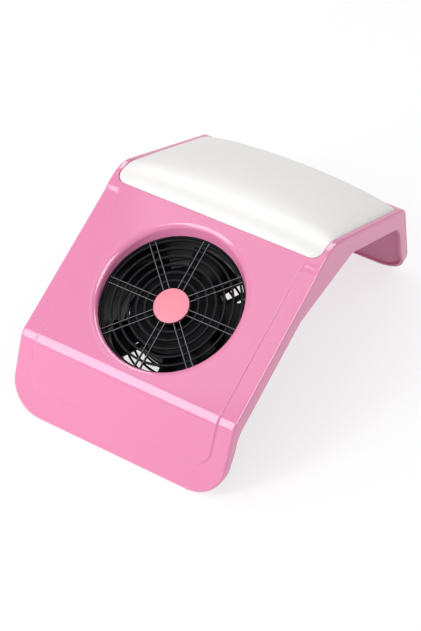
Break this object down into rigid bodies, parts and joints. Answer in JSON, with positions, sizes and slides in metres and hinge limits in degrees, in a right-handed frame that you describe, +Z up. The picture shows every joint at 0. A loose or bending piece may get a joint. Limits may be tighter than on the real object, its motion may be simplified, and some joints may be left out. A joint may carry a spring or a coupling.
{
  "type": "nail dust collector",
  "caption": "Desktop nail dust collector: bent glossy shell with a guarded axial fan in its sloped panel, a padded hand rest over its crest, and a rear switch and power inlet.",
  "frame": {"origin": "on the table, below the middle of the object's bounding box", "axes": "+Z up, +Y from the front apron to the rear leg, +X to the right seen from the front"},
  "size_m": [0.2, 0.3224, 0.1482],
  "materials": {
    "shell_pink": "moulded high gloss",
    "pad_leatherette": "fine grained leatherette",
    "carrier_grey": "moulded satin",
    "guard_black": "moulded satin",
    "badge_salmon": "satin, bare",
    "fan_black": "moulded satin",
    "motor_steel": "turned",
    "ferrite": "sintered matt",
    "lamination": "stacked sheets",
    "coil_copper": "enamelled wire",
    "board_green": "solder mask",
    "screw_zinc": "zinc plated",
    "terminal_brass": "bare brass",
    "switch_black": "moulded satin",
    "lead_red": "satin sheath",
    "lead_black": "satin sheath",
    "foot_rubber": "matt rubber"
  },
  "bodies": {
    "housing": {"top_shell": "shell_pink", "cushion": "pad_leatherette", "cushion_base": "carrier_grey", "fan_guard": "guard_black", "guard_badge": "badge_salmon", "fan_frame": "fan_black", "bearing_upper": "motor_steel", "bearing_lower": "motor_steel", "stator_core": "lamination", "driver_board": "board_green", "exhaust_collar": "guard_black", "rear_grille": "guard_black", "switch_body": "switch_black", "inlet_barrel": "switch_black", "inlet_nut": "screw_zinc", "inlet_pin": "terminal_brass", "switch_terminal_left": "terminal_brass", "switch_terminal_right": "terminal_brass", "lead_fan_to_switch": "lead_red", "lead_switch_to_inlet": "lead_red", "lead_fan_to_inlet": "lead_black", "cushion_screw_1": "screw_zinc", "fan_screw_1": "screw_zinc", "stator_coil_1": "coil_copper", "cushion_screw_2": "screw_zinc", "fan_screw_2": "screw_zinc", "stator_coil_2": "coil_copper", "cushion_screw_3": "screw_zinc", "fan_screw_3": "screw_zinc", "stator_coil_3": "coil_copper", "cushion_screw_4": "screw_zinc", "fan_screw_4": "screw_zinc", "stator_coil_4": "coil_copper", "lead_clip_1": "switch_black", "lead_clip_2": "switch_black", "lead_clip_3": "switch_black", "foot_front_left": "foot_rubber", "foot_front_right": "foot_rubber", "foot_rear_left": "foot_rubber", "foot_rear_right": "foot_rubber"},
    "fan_rotor": {"impeller": "fan_black", "rotor_yoke": "motor_steel", "magnet_ring": "ferrite", "rotor_shaft": "motor_steel", "shaft_clip": "motor_steel"},
    "rocker": {"switch_rocker": "switch_black"}
  },
  "joints": [
    {"name": "fan_spin", "type": "hinge", "parent": "housing", "child": "fan_rotor", "pos_m": [0, -0.07585, 0.09843], "axis": [0, -0.4665, 0.8845], "continuous": true},
    {"name": "rocker_tilt", "type": "hinge", "parent": "housing", "child": "rocker", "pos_m": [-0.036, 0.15234, 0.04393], "axis": [0, -0.2444, 0.9697], "range_deg": [0, 18]}
  ]
}
